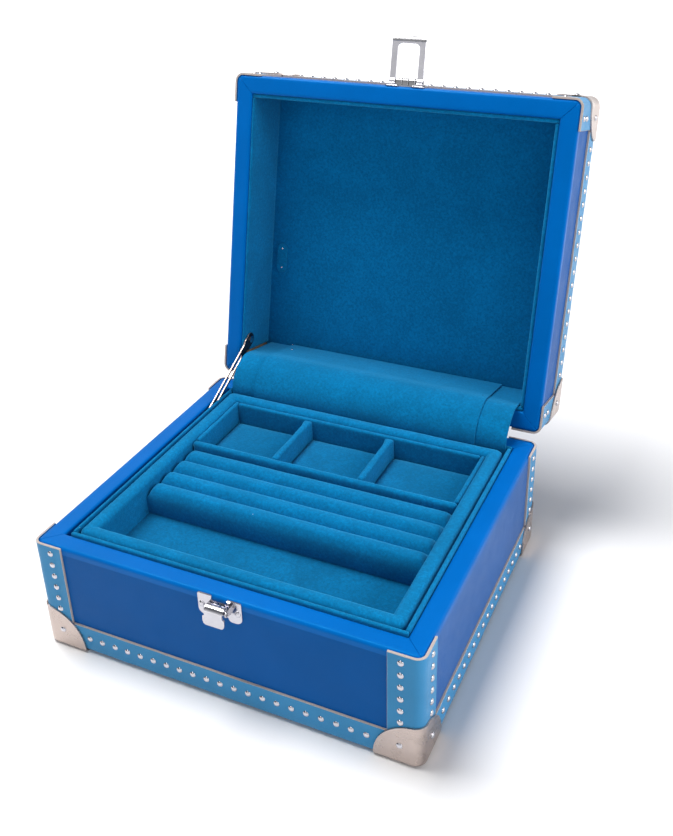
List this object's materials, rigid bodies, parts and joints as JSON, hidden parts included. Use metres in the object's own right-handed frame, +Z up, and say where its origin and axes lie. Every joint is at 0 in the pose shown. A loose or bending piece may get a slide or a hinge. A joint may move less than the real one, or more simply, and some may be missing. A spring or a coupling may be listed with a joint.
{
  "type": "jewelry gift box",
  "caption": "Open blue leather trunk-style jewelry box with a lift-out ring tray, hinged lid on a slotted stay, riveted edge trims, metal corners and a hasp latch.",
  "frame": {"origin": "centre of the base on the table, under the middle of the case", "axes": "+X to the right across the width, -Y to the front where the latch is, +Z up; the lid is hinged at +Y and stands open"},
  "size_m": [0.2264, 0.2981, 0.2929],
  "materials": {
    "board": "bare plywood",
    "leather_blue": "fine grain, semi-gloss",
    "leather_binding": "fine grain, semi-gloss",
    "leather_light": "grained, semi-gloss",
    "suede": "microfibre suede",
    "cloth": "brushed lining cloth",
    "metal": "polished nickel",
    "steel": "drawn wire"
  },
  "bodies": {
    "base": {"base_carcass": "board", "base_cover": "leather_blue", "base_rim_binding": "leather_binding", "base_corner_strip_front_left": "leather_light", "base_corner_strip_front_right": "leather_light", "base_corner_strip_back_left": "leather_light", "base_corner_strip_back_right": "leather_light", "base_corner_cap_front_left": "metal", "base_corner_cap_front_right": "metal", "base_corner_cap_back_left": "metal", "base_corner_cap_back_right": "metal", "base_edge_trim_front": "leather_light", "base_edge_trim_back": "leather_light", "base_edge_trim_left": "leather_light", "base_edge_trim_right": "leather_light", "base_rivets": "metal", "base_underside_pad": "leather_blue", "base_liner": "suede", "base_floor_pad": "suede", "tray_rests": "suede", "hinge_base_leaves": "steel", "hinge_pins": "steel", "catch_plate": "metal", "catch_pin": "steel", "catch_spring": "steel", "stay_base_stud": "metal", "gusset_lining": "cloth", "gusset_overlay": "cloth"},
    "lid": {"lid_carcass": "board", "lid_cover": "leather_blue", "lid_rim_binding": "leather_binding", "lid_corner_strip_front_left": "leather_light", "lid_corner_strip_front_right": "leather_light", "lid_corner_strip_back_left": "leather_light", "lid_corner_strip_back_right": "leather_light", "lid_corner_cap_front_left": "metal", "lid_corner_cap_front_right": "metal", "lid_corner_cap_back_left": "metal", "lid_corner_cap_back_right": "metal", "lid_edge_trim_front": "leather_light", "lid_edge_trim_back": "leather_light", "lid_edge_trim_left": "leather_light", "lid_edge_trim_right": "leather_light", "lid_rivets": "metal", "lid_liner": "suede", "lid_panel": "suede", "lid_tab": "suede", "hinge_lid_leaves": "steel", "hasp_plate": "metal", "hasp_pin": "steel", "stay_rivet": "metal"},
    "tray": {"tray_frame": "suede", "tray_floor": "suede", "tray_lining": "suede", "tray_partitions": "suede", "tray_compartment_pads": "suede", "ring_rolls": "suede"},
    "stay": {"stay_arm": "metal"},
    "hasp": {"hasp_loop": "metal"},
    "catch": {"catch_lever": "metal"}
  },
  "joints": [
    {"name": "lid_hinge", "type": "hinge", "parent": "base", "child": "lid", "pos_m": [0, 0.1021, 0.0694], "axis": [1, 0, 0], "range_deg": [0, 102.6], "deforming": ["gusset_lining", "gusset_overlay"]},
    {"name": "stay_pivot", "type": "hinge", "parent": "lid", "child": "stay", "pos_m": [-0.0964, 0.11654, 0.0923], "axis": [1, 0, 0], "range_deg": [-97.5, 0]},
    {"name": "hasp_hinge", "type": "hinge", "parent": "lid", "child": "hasp", "pos_m": [0.004, 0.15022, 0.26727], "axis": [1, 0, 0], "range_deg": [-60, 90]},
    {"name": "catch_press", "type": "hinge", "parent": "base", "child": "catch", "pos_m": [0.004, -0.10275, 0.0634], "axis": [-1, 0, 0], "range_deg": [-22, 0], "stiffness_Nm_per_rad": 0.02, "springref_deg": 5.73},
    {"name": "tray_lift", "type": "slide", "parent": "base", "child": "tray", "axis": [0, 0, -1], "range_m": [-0.036, 0]}
  ],
  "couplings": [
    {"joint": "stay_pivot", "follows": "lid_hinge", "ratio": -0.943}
  ]
}
